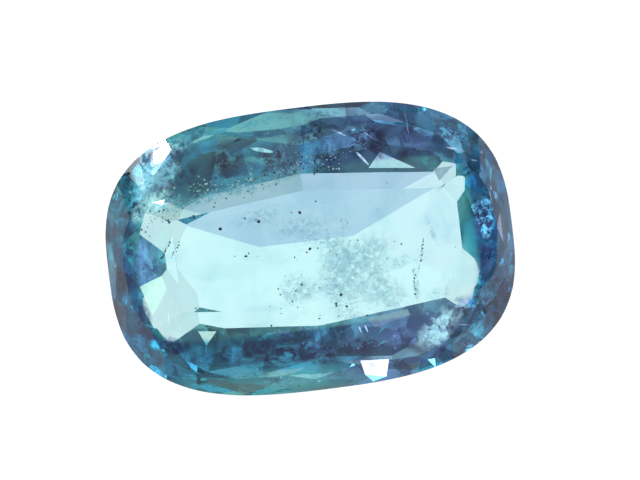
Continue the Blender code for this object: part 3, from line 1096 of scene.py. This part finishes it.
# Each veil: its pixel, its depth in mm, its half-width and half-height in mm, its angle in
# degrees as seen in the photograph, and its tone.
VEILS = (
    (226, 163, 0.35, 0.80, 0.60, 12, PLUM_SMOKE_SHADE), (274, 158, 0.40, 0.85, 0.50, -8, PLUM_SMOKE_SHADE),
    (312, 134, 0.40, 0.65, 0.55, 5, PLUM_SMOKE_SHADE), (368, 142, 0.45, 0.95, 0.65, 15, PLUM_SMOKE_SHADE),
    (272, 352, 0.35, 1.60, 0.55, 4, PLUM_SMOKE_SHADE), (360, 344, 0.40, 0.90, 0.50, 0, PLUM_SMOKE_SHADE),
    (466, 338, 0.35, 0.60, 0.40, 20, BLUE_SMOKE_SHADE), (176, 345, 0.35, 0.70, 0.40, -35, BLUE_SMOKE_SHADE),
    (124, 257, 0.30, 0.50, 0.35, -10, BLUE_SMOKE_SHADE), (146, 315, 0.35, 0.35, 0.80, 15, BLUE_SMOKE_SHADE),
    (446, 135, 0.40, 0.80, 0.50, -35, BLUE_SMOKE_SHADE), (498, 285, 0.40, 0.32, 1.10, 0, BLUE_SMOKE_SHADE),
    (484, 222, 0.35, 0.50, 0.90, 0, BLUE_SMOKE_SHADE), (489, 262, 0.35, 0.50, 0.90, 0, BLUE_SMOKE_SHADE),
    (478, 300, 0.35, 0.60, 0.45, 0, BLUE_SMOKE_SHADE), (128, 275, 0.35, 0.45, 0.80, 5, BLUE_SMOKE_SHADE),
    (154, 268, 0.40, 0.45, 0.35, 20, BLUE_SMOKE_SHADE), (150, 330, 0.35, 0.60, 0.35, -40, BLUE_SMOKE_SHADE),
    (337, 262, 1.00, 0.80, 1.30, 5, GREY_CLOUD), (366, 278, 1.10, 1.40, 0.85, -38, GREY_CLOUD),
    (389, 290, 0.90, 0.90, 0.60, -30, GREY_CLOUD), (342, 296, 1.00, 1.00, 0.60, -50, GREY_CLOUD),
    (362, 252, 1.20, 1.50, 0.60, 24, GREY_CLOUD), (300, 226, 0.90, 1.50, 0.45, 10, GREY_CLOUD),
    (262, 217, 0.80, 1.20, 0.40, 15, GREY_CLOUD), (322, 240, 1.00, 1.10, 0.40, -12, GREY_CLOUD),
    (352, 268, 1.40, 1.80, 1.10, 30, GREY_CLOUD), (296, 288, 1.20, 0.70, 0.70, 0, GREY_CLOUD),
    (205, 200, 0.22, 1.10, 0.30, 14, PALE_HAZE), (285, 176, 0.22, 1.10, 0.28, 12, PALE_HAZE),
    (292, 347, 0.35, 2.00, 0.60, -3, PLUM_SMOKE_SHADE), (232, 352, 0.45, 0.90, 0.45, 10, PLUM_SMOKE_SHADE),
    (172, 150, 0.28, 0.70, 0.45, 30, CYAN_PAINTED_GLOW), (188, 142, 0.32, 0.80, 0.35, 25, PALE_HAZE),
    (153, 189, 0.48, 0.80, 0.85, -20, CYAN_PAINTED_GLOW), (165, 172, 0.40, 0.80, 0.60, 30, CYAN_PAINTED_GLOW),
    (262, 345, 0.55, 1.60, 0.60, 0, PLUM_SMOKE_SHADE), (318, 350, 0.55, 1.10, 0.50, 5, PLUM_SMOKE_SHADE),
    (134, 250, 0.32, 0.45, 0.40, 0, BLUE_SMOKE_SHADE), (480, 214, 0.50, 0.60, 0.70, 0, BLUE_SMOKE_SHADE),
    (352, 312, 1.30, 0.80, 0.20, 4, GREY_CLOUD), (400, 262, 1.10, 0.50, 0.30, 30, GREY_CLOUD),
    (310, 290, 1.10, 0.60, 0.45, 10, GREY_CLOUD), (436, 290, 0.60, 0.50, 0.25, 12, GREY_CLOUD),
    (430, 231, 0.60, 0.62, 0.10, -66, GREY_CLOUD), (431, 234, 0.70, 0.30, 0.10, -72, GREY_CLOUD),
    (415, 284, 0.50, 0.62, 0.13, -86, GREY_CLOUD), (414, 290, 0.60, 0.36, 0.12, -86, GREY_CLOUD),
    (288, 297, 1.00, 0.34, 0.16, -50, GREY_CLOUD), (298, 290, 0.90, 0.30, 0.14, 60, GREY_CLOUD),
    (157, 186, 0.34, 0.80, 0.85, -20, CYAN_PAINTED_GLOW), (142, 206, 0.32, 0.50, 0.78, -10, CYAN_PAINTED_GLOW),
    (150, 175, 0.30, 0.90, 0.60, 40, CYAN_PAINTED_GLOW), (160, 208, 0.25, 0.70, 0.40, 12, CYAN_PAINTED_GLOW),
    (175, 205, 0.25, 0.65, 0.40, 15, PALE_HAZE), (262, 124, 0.34, 1.20, 0.24, 11, PALE_HAZE),
    (318, 116, 0.25, 0.90, 0.24, 4, PALE_HAZE), (330, 146, 0.35, 0.40, 0.60, 0, PALE_HAZE),
    (226, 152, 0.25, 0.55, 0.10, -55, PALE_HAZE), (284, 155, 0.25, 0.50, 0.12, -75, SLATE_HAZE),
    (247, 190, 0.20, 1.30, 0.26, 12, PALE_HAZE), (312, 166, 0.25, 0.60, 0.20, 15, PALE_HAZE),
    (206, 357, 0.30, 0.36, 0.48, 0, PALE_HAZE), (236, 352, 0.35, 0.40, 0.45, 0, PALE_HAZE),
    (286, 332, 0.30, 0.45, 0.16, -12, SLATE_HAZE), (322, 346, 0.30, 0.60, 0.20, -15, SLATE_HAZE),
    (346, 338, 0.30, 0.50, 0.16, 20, SLATE_HAZE), (398, 336, 0.35, 0.60, 0.40, 20, SLATE_HAZE),
    (412, 145, 0.35, 0.45, 0.60, 20, SLATE_HAZE), (478, 226, 0.35, 0.35, 0.60, 10, SLATE_HAZE),
    (482, 250, 0.30, 0.45, 0.30, 0, SLATE_HAZE), (455, 300, 0.30, 0.60, 0.26, 20, SLATE_HAZE),
    (330, 374, 0.20, 1.10, 0.26, 8, PALE_HAZE), (285, 380, 0.20, 1.20, 0.22, 3, PALE_HAZE),
    (441, 326, 0.22, 1.15, 0.50, 44, FEATHER), (456, 311, 0.22, 0.60, 0.30, 35, FEATHER),
    (429, 338, 0.25, 0.62, 0.40, 20, FEATHER), (440, 322, 0.34, 0.80, 0.55, 60, FEATHER),
    (434, 330, 0.30, 0.70, 0.50, 10, FEATHER))


def model_veil():
    """A dented thin disc, one millimetre in radius, closed on both sides."""
    bpy.ops.object.select_all(action="DESELECT")
    bpy.ops.mesh.primitive_circle_add(vertices=16, radius=MM, fill_type="TRIFAN")
    veil = bpy.context.object
    start_edit(veil)
    bpy.ops.mesh.subdivide(number_cuts=2)
    bpy.ops.transform.vertex_random(offset=0.04 * MM, uniform=1.0, seed=9)
    end_edit()
    wall = veil.modifiers.new("wall", "SOLIDIFY")
    wall.thickness = SHEET_THICKNESS
    bpy.ops.object.modifier_apply(modifier=wall.name)
    return veil


veil_placed = [
    (under_crown(x, y, depth, half_width, half_height, angle), tone)
    for x, y, depth, half_width, half_height, angle, tone in VEILS]
join_copies(model_veil(), "healed_veils_and_painted_light", veil_placed, veil_material())

# %% [markdown]
# ## Cleavage flakes and painted facets
# Here and there a flat crack with straight sides shows a clear tone of its own, like a small
# pane. Each is a thin triangle that is stretched over three pixels of the photograph. Some of
# what they copy is the image of a facet and not a crack: the light and shade seen through it,
# painted on a flake. All of them glow, which is painted light.

# %% Flakes
SMOKE_PANE = (0.15, 0.26, 0.31, 0.80)
SKY_PANE = (0.32, 0.55, 0.56, 0.90)
LEAF_PANE = (0.42, 0.66, 0.58, 0.90)
STRAW_PANE = (0.34, 0.54, 0.48, 0.90)
TEAL_PANE = (0.06, 0.24, 0.34, 0.85)
GLINT_PANE = (0.85, 1.0, 1.0, 1.0)
CYAN_GLINT_PANE = (0.20, 0.80, 0.80, 1.0)

# Each flake: its three corners in pixels, its depth in mm and its tone.
FLAKES = (
    ((379, 154), (368, 170), (414, 170), 0.30, SKY_PANE),
    ((432, 171), (451, 168), (437, 183), 0.30, SMOKE_PANE),
    ((143, 286), (165, 275), (170, 289), 0.25, LEAF_PANE),
    ((143, 286), (170, 289), (156, 314), 0.25, LEAF_PANE),
    ((200, 329), (218, 329), (208, 343), 0.25, STRAW_PANE),
    ((366, 316), (406, 307), (409, 313), 0.30, SMOKE_PANE),
    ((366, 316), (409, 313), (374, 325), 0.30, SMOKE_PANE),
    ((471, 257), (492, 260), (481, 281), 0.30, TEAL_PANE),
    ((138, 343), (145, 340), (148, 354), 0.20, TEAL_PANE))

# The brightest flakes stand just below the crown. They glow as painted glints, for facets that
# mirror a lamp.
PAINTED_GLINT_FLAKES = (
    ((155, 204), (167, 201), (166, 206), 0.20, GLINT_PANE),
    ((360, 359), (388, 358), (386, 375), 0.15, GLINT_PANE),
    ((360, 359), (386, 375), (365, 373), 0.15, GLINT_PANE),
    ((365, 373), (386, 375), (373, 380), 0.15, CYAN_GLINT_PANE),
    ((427, 358), (434, 357), (435, 366), 0.15, CYAN_GLINT_PANE))
# Both glows are painted light; the stronger one makes the painted glints.
FLAKE_GLOW = 1.3
GLINT_GLOW = 3.5


def model_flake():
    """A thin triangle, closed on both sides."""
    bpy.ops.object.select_all(action="DESELECT")
    bpy.ops.mesh.primitive_circle_add(vertices=3, radius=MM, fill_type="NGON")
    flake = bpy.context.object
    wall = flake.modifiers.new("wall", "SOLIDIFY")
    wall.thickness = SHEET_THICKNESS
    corners = [vertex.co.copy() for vertex in flake.data.vertices]
    bpy.ops.object.modifier_apply(modifier=wall.name)
    return flake, corners


def triangle_frame(first, second, third):
    """A matrix whose first two axes are two sides of a triangle, and the third its normal."""
    side, other = second - first, third - first
    normal = side.cross(other).normalized()
    frame = Matrix((side, other, normal)).transposed().to_4x4()
    frame.translation = first
    return frame


def lay_flakes(name, flakes, glow):
    """One piece that holds a flake for each line of a list."""
    flake, flake_corners = model_flake()
    flake_back = triangle_frame(*flake_corners).inverted()
    placed = []
    for first, second, third, depth, tone in flakes:
        corners = [inside_stone(x, y, depth) for x, y in (first, second, third)]
        placed.append((triangle_frame(*corners) @ flake_back, tone))
    return join_copies(flake, name, placed, flake_material(name, glow))


lay_flakes("cleavage_and_painted_facet_flakes", FLAKES, FLAKE_GLOW)
lay_flakes("painted_glint_flakes", PAINTED_GLINT_FLAKES, GLINT_GLOW)

# %% Picture
scene = bpy.context.scene
scene.view_settings.view_transform = "Standard"
scene.cycles.max_bounces = 16
scene.cycles.transmission_bounces = 16
scene.cycles.glossy_bounces = 8
scene.cycles.transparent_max_bounces = 24
